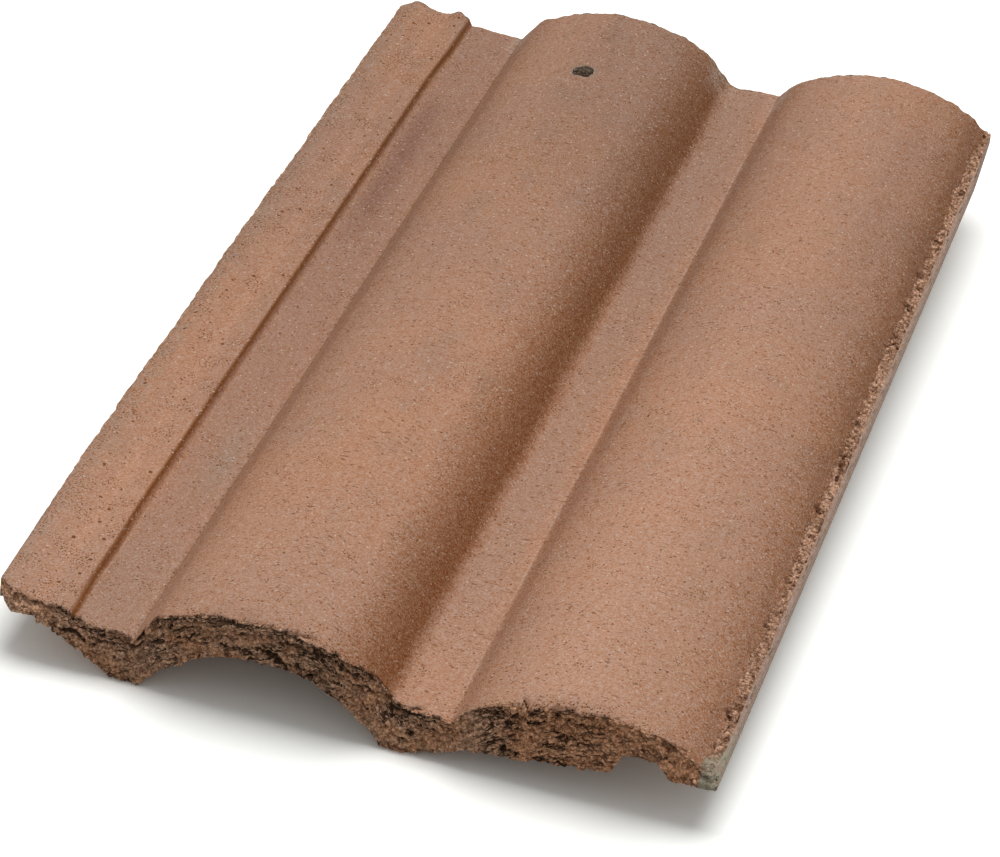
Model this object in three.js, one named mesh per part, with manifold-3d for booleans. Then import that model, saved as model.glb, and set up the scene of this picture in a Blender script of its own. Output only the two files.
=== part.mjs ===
// Interlocking double-roll roof tile, extruded from concrete in one piece.
// Millimetres, +Z up. The tail (lower edge on the roof) faces -Y and the head faces +Y.
// The section is drawn on the plane of the two feet (z = 0), with x = 0 at the valley beside
// the first roll. The whole tile is then laid on a level floor, on its feet and its nib tips.

import * as THREE from 'three';
import { mergeVertices } from 'three/addons/utils/BufferGeometryUtils.js';
import Module from 'manifold-3d';

// ---- overall ----
const LENGTH = 387;                 // tail to head
const PITCH = 100;                  // valley of one roll to valley of the next
const FACET_TOLERANCE = 0.03;       // how far a facet may lie inside its arc

// ---- rolls: crown above the feet, and where it stands from its own valley ----
const CROWN_RADIUS = 60;
const CROWN_SLOPE = 30;             // degrees, where the crown's arc ends on both sides
const CROWN_OFFSET = 40.4;
const FIRST_CROWN_HEIGHT = 35.8;
const SECOND_CROWN_HEIGHT = 32.9;
const FIRST_SHOULDER_SLOPE = 53;    // degrees, the short steep side
const SECOND_SHOULDER_SLOPE = 48;
const SHOULDER_RADIUS = 5;
const FLANK_SLOPE = 50;             // degrees, the long soft side into the pan
const FLANK_RADIUS = 10;

// ---- pan and channel ----
const CHANNEL_VALLEY_HEIGHT = 16.8;
const PAN_VALLEY_HEIGHT = 15.9;
const PAN_WIDTH = 18;
const PAN_FALL = 0.8;               // the pan lies lower beside the first roll
const PAN_RADIUS = 9;
const VALLEY_RADIUS = 0.8;
const CHANNEL_WIDTH = 19.6;
const CHANNEL_FALL = 1.5;           // towards the valley

// ---- underlock: the flange that the next tile covers, with two low ribs and a gutter ----
const FLANGE_WIDTH = 29;
const STEP_HEIGHT = 2.9;            // from the channel up to the flange
const STEP_RUN = 1.4;
const INNER_RIB_HEIGHT = 22;
const INNER_RIB_INSET = 5.2;        // from the foot of the step
const GUTTER_HEIGHT = 20.5;
const GUTTER_INSET = 11.4;
const OUTER_RIB_HEIGHT = 23.4;
const OUTER_RIB_INSET = 22;
const FLANGE_EDGE_HEIGHT = 20.4;
const FLANGE_UNDERSIDE = 16.4;
const FLANGE_UNDERSIDE_WIDTH = 17.2;
const UNDERCUT_STEP = 2.2;          // the underside drops here before it slopes to the foot
const UNDERCUT_WIDTH = 5;

// ---- feet: two flat ribs that run the whole length under the valleys ----
const FIRST_FOOT_START = -6;
const FIRST_FOOT_WIDTH = 8;
const SECOND_FOOT_START = 80;
const SECOND_FOOT_WIDTH = 7;
const FOOT_RADIUS = 2.5;
const ARCH_RISE = 20.2;             // hollow under the first roll
const ARCH_SLOPE = 54;              // degrees, where the arch springs from a foot

// ---- overlock: the edge of the second roll, which laps the neighbour's flange ----
const LIP_WIDTH = 5.6;
const LIP_HEIGHT = 19.8;            // top of the out-turned lip
const LIP_DROP = 0.5;
const LIP_RADIUS = 4;
const LIP_CHAMFER_RADIUS = 1.6;
const SIDE_FACE_FOOT = 15;          // underside of the lip
const OVERLOCK_REACH = 81.4;        // from the second valley to the side face
const WEB_START_HEIGHT = 6.8;       // underside past the second foot
const WEB_START_RUN = 17;
const WEB_END_HEIGHT = 12.3;
const GROOVE_START = 49.4;          // from the second valley
const GROOVE_WIDTH = 17;
const GROOVE_CEILING = 20.3;
const GROOVE_DRAFT = 3.4;
const GROOVE_RADIUS = 2.5;

// ---- nibs that hang the tile on its batten ----
const NIB_DEPTH = 14;               // below the feet
const NIB_WIDTH = 26;               // across the tile, at the root
const NIB_SIDE_DRAFT = 2.5;
const NIB_BATTEN_FACE = 24;         // from the head to the flat face that meets the batten
const NIB_TIP_LENGTH = 13;
const NIB_ROOT_HEIGHT = 6;          // how far the nib reaches up into the foot
const NIB_CENTRES = [
  FIRST_FOOT_START + FIRST_FOOT_WIDTH / 2,
  SECOND_FOOT_START + SECOND_FOOT_WIDTH / 2,
];

// ---- nail hole ----
const NAIL_HOLE_DIAMETER = 8;
const NAIL_HOLE_FROM_HEAD = 44.5;
const NAIL_HOLE_OFFSET = 36.2;      // from the first valley
const NAIL_HOLE_SIDES = 24;

// ---- worn corners, in plan ----
const TAIL_CORNER_WEAR = 3.2;       // off the flange at the tail
const TAIL_CORNER_LENGTH = 95;
const TAIL_CORNER_RADIUS = 6;
const HEAD_CORNER_WEAR = 1.8;       // off the overlock at the head
const HEAD_CORNER_LENGTH = 38;
const HEAD_CORNER_RADIUS = 0.8;

const TILE_COLOUR = 0xa9745a;
const CLEARANCE = 1;                // how far a cutter runs past what it cuts
const MERGE = 1e-3;                 // points nearer than this are one point

const radians = THREE.MathUtils.degToRad;

// The point where two lines meet, each given by a point [x, z] and its slope in degrees.
function meet([x1, z1], slope1, [x2, z2], slope2) {
  const rise1 = Math.tan(radians(slope1));
  const rise2 = Math.tan(radians(slope2));
  const x = (z2 - z1 + rise1 * x1 - rise2 * x2) / (rise1 - rise2);
  return [x, z1 + rise1 * (x - x1)];
}

// A closed outline from corners [x, z, radius]; each corner with a radius becomes a tangent arc.
// Where two arcs would overlap on the edge between them, both give way.
function roundedOutline(corners) {
  const places = corners.map(([x, z]) => new THREE.Vector2(x, z));
  const edges = places.map((place, index) => places[(index + 1) % places.length].clone().sub(place));
  const openings = edges.map((edge, index) => {
    const back = edges.at(index - 1).clone().negate();
    return Math.acos(THREE.MathUtils.clamp(back.dot(edge) / back.length() / edge.length(), -1, 1));
  });
  const wanted = corners.map(([, , radius = 0], index) => radius / Math.tan(openings[index] / 2));
  const shares = edges.map((edge, index) => {
    const taken = wanted[index] + wanted[(index + 1) % wanted.length];
    return Math.min(1, edge.length() / Math.max(taken, MERGE));
  });
  const points = [];
  places.forEach((corner, index) => {
    const setback = wanted[index] * Math.min(shares[index], shares.at(index - 1));
    if (setback < MERGE) {
      points.push(corner);
      return;
    }
    const towardsBefore = edges.at(index - 1).clone().negate().normalize();
    const towardsAfter = edges[index].clone().normalize();
    const radius = setback * Math.tan(openings[index] / 2);
    const bisector = towardsBefore.clone().add(towardsAfter).normalize();
    const centre = corner.clone().addScaledVector(bisector, setback / Math.cos(openings[index] / 2));
    const arm = corner.clone().addScaledVector(towardsBefore, setback).sub(centre);
    const turn = (Math.PI - openings[index]) * Math.sign(towardsAfter.cross(towardsBefore));
    const facetTurn = 2 * Math.acos(1 - Math.min(1, FACET_TOLERANCE / radius));
    const steps = Math.max(2, Math.ceil(Math.abs(turn) / facetTurn));
    for (let step = 0; step <= steps; step += 1) {
      points.push(arm.clone().rotateAround(new THREE.Vector2(), turn * step / steps).add(centre));
    }
  });
  const distinct = points.filter((point, index) => point.distanceTo(points.at(index - 1)) > MERGE);
  return distinct.filter((point, index) => {
    const incoming = point.clone().sub(distinct.at(index - 1));
    const outgoing = distinct[(index + 1) % distinct.length].clone().sub(point);
    return Math.abs(incoming.cross(outgoing)) > MERGE * MERGE;
  });
}

// Corners of one roll's outer face, from its valley to the foot of its flank.
function rollCorners(valley, crownHeight, shoulderSlope, flankFoot) {
  const crownX = valley[0] + CROWN_OFFSET;
  const apexHeight = crownHeight - CROWN_RADIUS + CROWN_RADIUS / Math.cos(radians(CROWN_SLOPE));
  const apex = [crownX, apexHeight];
  const shoulder = meet(valley, shoulderSlope, apex, CROWN_SLOPE);
  const flank = meet(apex, -CROWN_SLOPE, flankFoot, -FLANK_SLOPE);
  return [
    [...valley, VALLEY_RADIUS],
    [...shoulder, SHOULDER_RADIUS],
    [...apex, CROWN_RADIUS],
    [...flank, FLANK_RADIUS],
  ];
}

// Top face of the section, from the flange's free edge to the overlock's side face.
function topCorners() {
  const firstValley = [0, CHANNEL_VALLEY_HEIGHT];
  const panFoot = [PITCH - PAN_WIDTH, PAN_VALLEY_HEIGHT - PAN_FALL];
  const secondValley = [PITCH, PAN_VALLEY_HEIGHT];
  const sideX = PITCH + OVERLOCK_REACH;
  const lipFoot = [sideX - LIP_WIDTH, LIP_HEIGHT];
  const channelHeight = CHANNEL_VALLEY_HEIGHT + CHANNEL_FALL;
  return [
    [-CHANNEL_WIDTH - FLANGE_WIDTH, FLANGE_EDGE_HEIGHT, 1.5],
    [-CHANNEL_WIDTH - OUTER_RIB_INSET, OUTER_RIB_HEIGHT, 12],
    [-CHANNEL_WIDTH - GUTTER_INSET, GUTTER_HEIGHT, 10],
    [-CHANNEL_WIDTH - INNER_RIB_INSET, INNER_RIB_HEIGHT, 4],
    [-CHANNEL_WIDTH - STEP_RUN, channelHeight + STEP_HEIGHT, 1],
    [-CHANNEL_WIDTH, channelHeight, 0.6],
    ...rollCorners(firstValley, FIRST_CROWN_HEIGHT, FIRST_SHOULDER_SLOPE, panFoot),
    [...panFoot, PAN_RADIUS],
    ...rollCorners(secondValley, SECOND_CROWN_HEIGHT, SECOND_SHOULDER_SLOPE, lipFoot),
    [...lipFoot, LIP_RADIUS],
    [sideX, LIP_HEIGHT - LIP_DROP, LIP_CHAMFER_RADIUS],
  ];
}

// Underside of the section, from the overlock's side face back to the flange's free edge.
function undersideCorners() {
  const sideX = PITCH + OVERLOCK_REACH;
  const grooveX = PITCH + GROOVE_START;
  const grooveEnd = grooveX + GROOVE_WIDTH;
  const secondFootEnd = SECOND_FOOT_START + SECOND_FOOT_WIDTH;
  const firstFootEnd = FIRST_FOOT_START + FIRST_FOOT_WIDTH;
  const archRun = (SECOND_FOOT_START - firstFootEnd) / 2;
  const archApex = archRun * Math.tan(radians(ARCH_SLOPE));
  // the radius that brings the arch's crown down to its rise
  const archRadius = (archApex - ARCH_RISE) / (1 / Math.cos(radians(ARCH_SLOPE)) - 1);
  const flangeX = -CHANNEL_WIDTH - FLANGE_WIDTH;
  const undercutX = flangeX + FLANGE_UNDERSIDE_WIDTH;
  return [
    [sideX, SIDE_FACE_FOOT, 1],
    [grooveEnd, SIDE_FACE_FOOT, 1],
    [grooveEnd - GROOVE_DRAFT, GROOVE_CEILING, GROOVE_RADIUS],
    [grooveX + GROOVE_DRAFT, GROOVE_CEILING, GROOVE_RADIUS],
    [grooveX, WEB_END_HEIGHT, 1],
    [secondFootEnd + WEB_START_RUN, WEB_START_HEIGHT, 20],
    [secondFootEnd, 0, FOOT_RADIUS],
    [SECOND_FOOT_START, 0, FOOT_RADIUS],
    [(SECOND_FOOT_START + firstFootEnd) / 2, archApex, archRadius],
    [firstFootEnd, 0, FOOT_RADIUS],
    [FIRST_FOOT_START, 0, FOOT_RADIUS],
    [undercutX + UNDERCUT_WIDTH, FLANGE_UNDERSIDE - UNDERCUT_STEP, 3],
    [undercutX + UNDERCUT_STEP / 2, FLANGE_UNDERSIDE - UNDERCUT_STEP, 0.6],
    [undercutX, FLANGE_UNDERSIDE, 0.6],
    [flangeX, FLANGE_UNDERSIDE, 2],
  ];
}

// A prism of an outline in x and z that runs from one y to another.
function prismAlongY(points, fromY, toY) {
  const shape = new THREE.Shape(points);
  const geometry = new THREE.ExtrudeGeometry(shape, { depth: toY - fromY, bevelEnabled: false });
  geometry.rotateX(Math.PI / 2);
  geometry.translate(0, toY, 0);
  return geometry;
}

// A prism of a plan outline in x and y that runs from one height to another.
function prismAlongZ(points, fromZ, toZ) {
  const shape = new THREE.Shape(points);
  const geometry = new THREE.ExtrudeGeometry(shape, { depth: toZ - fromZ, bevelEnabled: false });
  geometry.translate(0, 0, fromZ);
  return geometry;
}

// One nib: a block with drafted sides, its flat face towards the tail and a sloped back that
// runs out at the head.
function nibGeometry(centreX) {
  const battenY = LENGTH - NIB_BATTEN_FACE;
  const profile = [
    new THREE.Vector2(battenY, NIB_ROOT_HEIGHT),
    new THREE.Vector2(battenY, -NIB_DEPTH),
    new THREE.Vector2(battenY + NIB_TIP_LENGTH, -NIB_DEPTH),
    new THREE.Vector2(LENGTH, 0),
    new THREE.Vector2(LENGTH, NIB_ROOT_HEIGHT),
  ];
  const geometry = new THREE.ExtrudeGeometry(new THREE.Shape(profile), {
    depth: NIB_WIDTH,
    bevelEnabled: false,
  });
  // the profile's x runs along the tile, its y is up and its depth runs across
  geometry.applyMatrix4(new THREE.Matrix4().set(
    0, 0, 1, -NIB_WIDTH / 2,
    1, 0, 0, 0,
    0, 1, 0, 0,
    0, 0, 0, 1,
  ));
  const position = geometry.attributes.position;
  for (let index = 0; index < position.count; index += 1) {
    const depth = (NIB_ROOT_HEIGHT - position.getZ(index)) / (NIB_ROOT_HEIGHT + NIB_DEPTH);
    const halfWidth = NIB_WIDTH / 2 - NIB_SIDE_DRAFT * depth;
    position.setX(index, centreX + Math.sign(position.getX(index)) * halfWidth);
  }
  return geometry;
}

// Cutter for the nail hole, straight through the first roll.
function nailHoleCutter() {
  const top = FIRST_CROWN_HEIGHT + CLEARANCE;
  const radius = NAIL_HOLE_DIAMETER / 2;
  const cutter = new THREE.CylinderGeometry(radius, radius, top + CLEARANCE, NAIL_HOLE_SIDES);
  cutter.rotateX(Math.PI / 2);
  cutter.translate(NAIL_HOLE_OFFSET, LENGTH - NAIL_HOLE_FROM_HEAD, (top - CLEARANCE) / 2);
  return cutter;
}

// Cutters that take the wear off the flange at the tail and off the overlock at the head.
function cornerCutters() {
  const flangeX = -CHANNEL_WIDTH - FLANGE_WIDTH;
  const sideX = PITCH + OVERLOCK_REACH;
  const tail = roundedOutline([
    [flangeX - CLEARANCE, -CLEARANCE],
    [flangeX + TAIL_CORNER_WEAR + 2 * TAIL_CORNER_RADIUS, -CLEARANCE],
    [flangeX + TAIL_CORNER_WEAR + TAIL_CORNER_RADIUS, 0.1, TAIL_CORNER_RADIUS],
    [flangeX + TAIL_CORNER_WEAR, TAIL_CORNER_RADIUS, TAIL_CORNER_RADIUS],
    [flangeX, TAIL_CORNER_LENGTH],
    [flangeX - CLEARANCE, TAIL_CORNER_LENGTH],
  ]);
  const head = roundedOutline([
    [sideX + CLEARANCE, LENGTH + CLEARANCE],
    [sideX - HEAD_CORNER_WEAR - 2 * HEAD_CORNER_RADIUS, LENGTH + CLEARANCE],
    [sideX - HEAD_CORNER_WEAR - HEAD_CORNER_RADIUS, LENGTH - 0.1, HEAD_CORNER_RADIUS],
    [sideX - HEAD_CORNER_WEAR, LENGTH - HEAD_CORNER_RADIUS, HEAD_CORNER_RADIUS],
    [sideX, LENGTH - HEAD_CORNER_LENGTH],
    [sideX + CLEARANCE, LENGTH - HEAD_CORNER_LENGTH],
  ]);
  const top = FIRST_CROWN_HEIGHT + CLEARANCE;
  return [prismAlongZ(tail, -CLEARANCE, top), prismAlongZ(head, -CLEARANCE, top)];
}

const wasm = await Module();
wasm.setup();

function toSolid(geometry) {
  const bare = geometry.clone();
  bare.deleteAttribute('normal');
  bare.deleteAttribute('uv');
  const merged = mergeVertices(bare, MERGE / 10);
  return new wasm.Manifold(new wasm.Mesh({
    numProp: 3,
    vertProperties: new Float32Array(merged.attributes.position.array),
    triVerts: new Uint32Array(merged.index.array),
  }));
}

function toGeometry(solid) {
  const mesh = solid.getMesh();
  const geometry = new THREE.BufferGeometry();
  geometry.setAttribute('position', new THREE.BufferAttribute(mesh.vertProperties, mesh.numProp));
  geometry.setIndex(new THREE.BufferAttribute(mesh.triVerts, 1));
  geometry.computeVertexNormals();
  return geometry;
}

function tileGeometry() {
  const outline = roundedOutline([...topCorners(), ...undersideCorners()]);
  let solid = toSolid(prismAlongY(outline, 0, LENGTH));
  NIB_CENTRES.forEach((centreX) => {
    solid = solid.add(toSolid(nibGeometry(centreX)));
  });
  [nailHoleCutter(), ...cornerCutters()].forEach((cutter) => {
    solid = solid.subtract(toSolid(cutter));
  });
  return toGeometry(solid);
}

// Laid on a floor, the tile stands on the tail ends of its feet and on the front edge of its
// nib tips, so its head is lifted by this angle.
const LYING_ANGLE = Math.atan2(NIB_DEPTH, LENGTH - NIB_BATTEN_FACE);

const concrete = new THREE.MeshStandardMaterial({
  color: TILE_COLOUR,
  roughness: 0.92,
  metalness: 0,
});
const tile = new THREE.Mesh(tileGeometry(), concrete);
tile.name = 'roof_tile';
tile.rotation.x = LYING_ANGLE;

// Origin: under the middle of the tile, on the floor.
const model = new THREE.Group();
model.add(tile);
model.updateMatrixWorld(true);
const bounds = new THREE.Box3().setFromObject(tile, true);
const middle = bounds.getCenter(new THREE.Vector3());
tile.position.set(-middle.x, -middle.y, -bounds.min.z);

export default model;
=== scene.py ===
import math
from bisect import bisect_right

import bmesh
import bpy
from bpy.props import FloatProperty, FloatVectorProperty, PointerProperty
from mathutils import Euler, Matrix, Vector, noise


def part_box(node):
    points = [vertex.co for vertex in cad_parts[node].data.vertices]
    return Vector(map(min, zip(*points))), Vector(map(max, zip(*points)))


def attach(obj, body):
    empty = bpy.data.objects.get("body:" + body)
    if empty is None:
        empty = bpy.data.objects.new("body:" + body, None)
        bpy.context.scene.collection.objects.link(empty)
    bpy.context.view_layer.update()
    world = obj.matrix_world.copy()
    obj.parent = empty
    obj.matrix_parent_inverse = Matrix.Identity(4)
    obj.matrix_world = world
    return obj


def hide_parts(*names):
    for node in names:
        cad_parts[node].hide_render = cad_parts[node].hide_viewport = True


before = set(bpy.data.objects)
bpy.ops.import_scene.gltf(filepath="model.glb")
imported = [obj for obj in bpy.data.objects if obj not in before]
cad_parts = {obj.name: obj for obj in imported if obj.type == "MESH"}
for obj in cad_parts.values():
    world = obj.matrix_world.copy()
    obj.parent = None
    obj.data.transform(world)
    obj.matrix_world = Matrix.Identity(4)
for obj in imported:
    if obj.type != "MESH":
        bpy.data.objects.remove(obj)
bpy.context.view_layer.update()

bl_info = {
    "name": "Concrete Roof Tile",
    "version": (1, 0, 0),
    "blender": (4, 5, 0),
    "location": "View3D > Sidebar > Roof Tile",
    "description": "Dresses a double-roll concrete roof tile and lays it on a studio floor",
    "category": "Object",
}

MM = 0.001
NODE = "roof_tile"
PIECE = "tile_body"

# The tile's own axes, in millimetres: x from the first valley, y from the tail, z from the feet.
LENGTH = 387.0
FLANGE_EDGE = -48.6
FLANGE_STEP = -21.0
SECOND_VALLEY = 99.4
LIP_START = 172.0
SIDE_FACE = 181.4
LOCK_HEIGHT = 14.0
LIP_CORNER = 18.9
CROWN_HEIGHT = 35.8
NAIL_HOLE = (36.2, LENGTH - 44.5)
HOLE_RADIUS = 4.0
NIB_DEPTH = 14.0
NIB_BATTEN_FACE = 24.0
# The tile lies on its tail and its nibs. Its first valley and tail are this far from the middle of its box.
LYING_ANGLE = math.atan2(NIB_DEPTH, LENGTH - NIB_BATTEN_FACE)
FIRST_VALLEY = (FLANGE_EDGE + SIDE_FACE) / 2
TAIL = (LENGTH * math.cos(LYING_ANGLE) - CROWN_HEIGHT * math.sin(LYING_ANGLE)) / 2

# How far in from an edge its wear reaches.
TAIL_WEAR = 11.0
HEAD_WEAR = 9.0
FLANGE_WEAR = 7.0
HOLE_WEAR = 2.5
# The cut has few gaps left of the first of these places, about the second, and right of the third.
SOUND_LEFT, SOUND_MIDDLE, SOUND_RIGHT = -28.0, 104.0, 132.0

# Sizes of the patterns in the material.
BROAD_SIZE = 55.0
PATCH_SIZE = 13.0
CLUSTER_SIZE = 8.0
MOTTLE_SIZE = 3.0
CRACK_SIZE = 1.7
CRUMB_SIZE = 1.15
PIT_SPACING = 1.1
GRAIN_SIZE = 0.62
SAND_SIZE = 0.46

# Points closer than this are merged, in the plain solid and in the fine mesh.
MERGE_PLAIN = 0.5
MERGE_FINE = 0.2
# Faces that meet at less than the first angle are made one. The underside's edges stay sharp above the
# second. A face more chipped than the last is shaded flat.
FLAT_ANGLE = math.radians(0.4)
SHARP_ANGLE = 0.6
BROKEN_FACE = 0.35

# The part of the tile that a face belongs to.
SKIN, TAIL_CUT, HEAD_CUT, SIDE, FLANGE, UNDERSIDE, HOLE = range(7)
# What the wear leaves on the mesh's points for the material to read.
MARKS = ("torn", "hollow", "chipped", "hole_wall", "below_skin", "underneath")

# How far the torn edge of the tail hangs down, and how far it has broken back, at each x.
TAIL_DROP = (
    (-49, 0), (-29, 0), (-26, 0.5), (-22, 0.3), (-19, 0), (-4, 0), (0.5, 1.3), (3, 0), (12, 0),
    (17, 0.8), (23, 1.1), (30, 1.2), (36, 2.3), (42, 1.7), (48, 1.5), (56, 1.4), (63, 1.1),
    (69, 0.3), (73, 0), (97, 0), (100, 0.9), (103, 0), (113, 0.1), (119, 1.6), (127, 2.7),
    (136, 2.3), (142, 2.1), (148, 1.6), (154, 0.2), (160, 0), (182, 0),
)
TAIL_SETBACK = (
    (-49, 2.2), (-30, 2.3), (-28, 0.4), (-24, 0.1), (-21, 1.2), (-18, 1.9), (-15, 1.2), (-12, 0.4),
    (-2, 0.3), (1, 0), (4, 0.8), (6, 2.3), (9, 1.0), (12, 0.3), (17, 0), (69, 0), (75, 2.8),
    (79.5, 3.9), (82.5, 2.2), (86.5, 1.4), (92, 0.7), (97, 0.1), (101, 0), (104, 0.7), (108, 0.2),
    (154, 0), (160, 0.4), (167, 0.5), (173, 1.4), (182, 1.6),
)
# Gaps in the cut: x and z of both ends, half width, depth.
CUT_GAPS = (
    (-26, 15.2, -16.5, 12.8, 0.8, 3.2), (-14, 13.8, -4, 12, 0.5, 1.8), (-2, 14.2, 2.5, 15.8, 0.8, 2.4),
    (8, 26, 18.7, 29.6, 0.5, 2), (18.7, 30.2, 30.4, 33, 0.5, 2.4), (16, 22.2, 24, 22.7, 0.6, 2),
    (28, 24, 38, 23.2, 0.6, 2.4), (40.6, 25.2, 47.5, 22.4, 1.2, 3.6), (46.5, 30.6, 56.5, 31.8, 0.6, 2.6),
    (56.7, 30.6, 62.5, 29.2, 0.6, 2.2), (51.6, 22.8, 53.4, 20.8, 0.9, 3), (62, 28.4, 72, 23.2, 0.6, 2.4),
    (64, 24.5, 74, 18.5, 0.5, 2), (83.5, 15.6, 92, 14.6, 0.7, 2.6), (88, 11.2, 101, 10, 0.5, 2),
    (107, 22.2, 117, 24.6, 0.6, 2.2), (117.5, 24.4, 128, 25.3, 0.9, 2.8), (131.5, 22.6, 143.5, 20, 0.6, 2.4),
    (135, 27.6, 146, 28.6, 0.5, 2), (124, 17.4, 134, 16.4, 0.6, 2), (158, 24.4, 168, 20.6, 0.5, 2),
    (97, 13.2, 104.5, 13.4, 0.5, 1.8),
)
# Cracks that run from the tail up into the skin: x and y of both ends, half width, depth.
SKIN_CRACKS = (
    (47.5, 0, 56, 3.4, 0.55, 2.4), (123.4, 0, 120.4, 6.6, 0.45, 1.4), (126.6, 0, 124.8, 2.8, 0.5, 1.6),
    (84.4, 1.6, 91, 4.4, 0.8, 1.8), (131, 0.4, 137.5, 2.6, 0.4, 1), (12, 1.6, 24, 2.2, 0.35, 0.9),
    (24, 2, 33, 0.8, 0.35, 1), (139, 1.4, 151, 2.6, 0.35, 0.9), (165, 2.2, 171, 3.6, 0.4, 1),
)
# Holes broken into the top of the lip: x, y, radius, depth.
LIP_HOLES = (
    (176.7, 31.3, 1.7, 2.8), (178.1, 40.5, 1, 1.6), (179.2, 55.9, 1.1, 1.2), (176.8, 75.1, 1.3, 1.8),
    (178.5, 84.2, 0.9, 1.2), (177.9, 125, 1.2, 1.8), (177, 139.3, 2, 3.2), (178.1, 157.6, 1.2, 2),
    (177.1, 170.4, 1.6, 2.5), (177, 189.6, 1.3, 2), (177.5, 210.3, 1, 1.6), (177.2, 262.5, 1.7, 2.4),
    (176.6, 283, 1.5, 2.2), (177.4, 291, 1.1, 1.6), (178.4, 331, 1, 1.7),
)
# Lumps that the cutter dragged up at the head of the flange and the first roll: x, height, radius.
HEAD_LUMPS = ((-40.8, 0.9, 2.6), (-24.9, 1.1, 2.2), (8, 0.5, 2.0), (37.4, 0.5, 2.4), (62, 0.4, 3.0))

# The studio, in metres: the floor's half width, the key light's place, and what the camera looks at.
FLOOR_REACH = 6.0
KEY_DIRECTION = (0.04, 0.2, 1.0)
KEY_DISTANCE = 1.7
CAMERA_AIM = (3.47 * MM, -51.41 * MM, 25.0 * MM)


# ---- sizes and colours ----


def length(name, default, description):
    return FloatProperty(name=name, description=description, default=default, min=0.0, unit="LENGTH")


def colour(name, default, description):
    return FloatVectorProperty(
        name=name, description=description, default=default, size=3, min=0.0, max=1.0, subtype="COLOR"
    )


def angle(name, degrees, description):
    return FloatProperty(name=name, description=description, default=math.radians(degrees), subtype="ANGLE")


class RoofTileShape(bpy.types.PropertyGroup):
    skin_mesh: length("Skin mesh", 1.6 * MM, "Widest gap between mesh lines on the top")
    underside_mesh: length("Underside mesh", 4 * MM, "Widest gap between mesh lines on the underside")
    cut_mesh: length("Cut mesh", 0.95 * MM, "Gap between mesh lines on the tail cut, before it is halved")
    skin_relief: length("Skin relief", 0.17 * MM, "Height of the slow unevenness of the top")
    grain_relief: length("Grain relief", 0.8 * MM, "Height of the coarse grains in the cut")
    fissure_depth: length("Fissure depth", 2.2 * MM, "Depth of the natural fissures in the cut")
    edge_wear: length("Edge wear", 1.9 * MM, "How far the lip's outer corner has crumbled")


class RoofTileFinish(bpy.types.PropertyGroup):
    skin: colour("Skin", (0.47, 0.256, 0.166), "Pigmented concrete skin in the light")
    skin_warm: colour("Warm patches", (0.5, 0.26, 0.157), "Warmer patches of the skin")
    skin_pale: colour("Pale skin", (0.475, 0.272, 0.186), "Paler skin near the tail and on the second roll")
    skin_grey: colour("Grey patches", (0.405, 0.24, 0.162), "Cooler patches of the skin")
    # Partly richer pigment, partly painted shade on the rolls' steep sides and at their feet.
    flank_pigment_and_shade: colour("Flanks", (0.24, 0.093, 0.034), "The steep sides of the rolls, richer in pigment")
    pan: colour("Pan", (0.4, 0.24, 0.168), "Dusty skin of the pan between the rolls")
    crease: colour("Crease", (0.23, 0.125, 0.062), "Fine line where the first roll meets the channel")
    channel: colour("Channel", (0.41, 0.225, 0.15), "Pinkish channel beside the flange")
    stain: colour("Stain", (0.21, 0.08, 0.058), "Purplish stain in the channel")
    film: colour("Grey film", (0.36, 0.26, 0.19), "Greyish patches of the flange, channel and underside")
    # Partly a dark deposit, partly painted shade in the flange's step.
    step: colour("Step line", (0.195, 0.06, 0.009), "Dark line at the foot of the flange")
    pit: colour("Pits", (0.16, 0.052, 0.01), "Small pits in the skin")
    fleck: colour("Flecks", (0.75, 0.6, 0.5), "Pale sand grains in the skin")
    bloom: colour("Bloom", (0.55, 0.42, 0.33), "Lime bloom at the head")
    cut: colour("Cut", (0.48, 0.285, 0.18), "Torn concrete of the tail and the head")
    cut_warm: colour("Warm cut", (0.51, 0.268, 0.148), "Redder torn concrete, most under the second roll")
    # Painted shade in the cut's hollows and fissures.
    cut_hollow_shade: colour("Cut hollows", (0.055, 0.026, 0.011), "Dark hollows and fissures of the cut")
    chipped: colour("Chipped edge", (0.64, 0.375, 0.245), "Crumbled edge of the lip")
    # Painted shade in the hollows of the crumbled lip.
    chip_hollow_shade: colour("Chipped hollows", (0.15, 0.052, 0.014), "Dark hollows of the crumbled edge")
    side: colour("Side face", (0.4, 0.265, 0.195), "Smooth side of the lip")
    green: colour("Green-grey", (0.39, 0.365, 0.265), "Green-grey film on the lip's side at the tail")
    underside: colour("Underside", (0.42, 0.26, 0.18), "Underside as it left the mould")
    hole: colour("Nail hole", (0.33, 0.24, 0.17), "Gritty wall of the nail hole")


class RoofTileStage(bpy.types.PropertyGroup):
    floor: colour("Floor", (0.6, 0.6, 0.59), "Floor as the tile sees it")
    floor_seen: FloatVectorProperty(
        name="Floor seen", description="Floor as the camera sees it", default=(1.43, 1.45, 1.41), size=3
    )
    key_power: FloatProperty(
        name="Key light", description="Power of the large soft light", default=20.5, min=0.0, unit="POWER"
    )
    key_size: length("Key size", 1.3, "Width of the large soft light")
    world_level: FloatProperty(
        name="Room light", description="Strength of the even light from all round", default=0.34, min=0.0
    )
    camera_azimuth: angle("Camera azimuth", 15.093, "Turn of the camera from straight ahead of the tail")
    camera_elevation: angle("Camera elevation", 33.564, "Height of the camera above the horizon")
    camera_roll: angle("Camera roll", 4.731, "Turn about its own line of sight")
    camera_distance: length("Camera distance", 1.2757, "From the point it looks at to the camera")
    lens: FloatProperty(name="Lens", description="Focal length in millimetres", default=142.66, min=1.0)


# ---- mesh tools ----


def smooth(low, high, value):
    """0 below low, 1 above high, with a soft rise between."""
    t = min(1.0, max(0.0, (value - low) / (high - low)))
    return t * t * (3.0 - 2.0 * t)


def fade(low, high, value):
    """1 below low, 0 above high, with a soft fall between."""
    return 1.0 - smooth(low, high, value)


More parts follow.
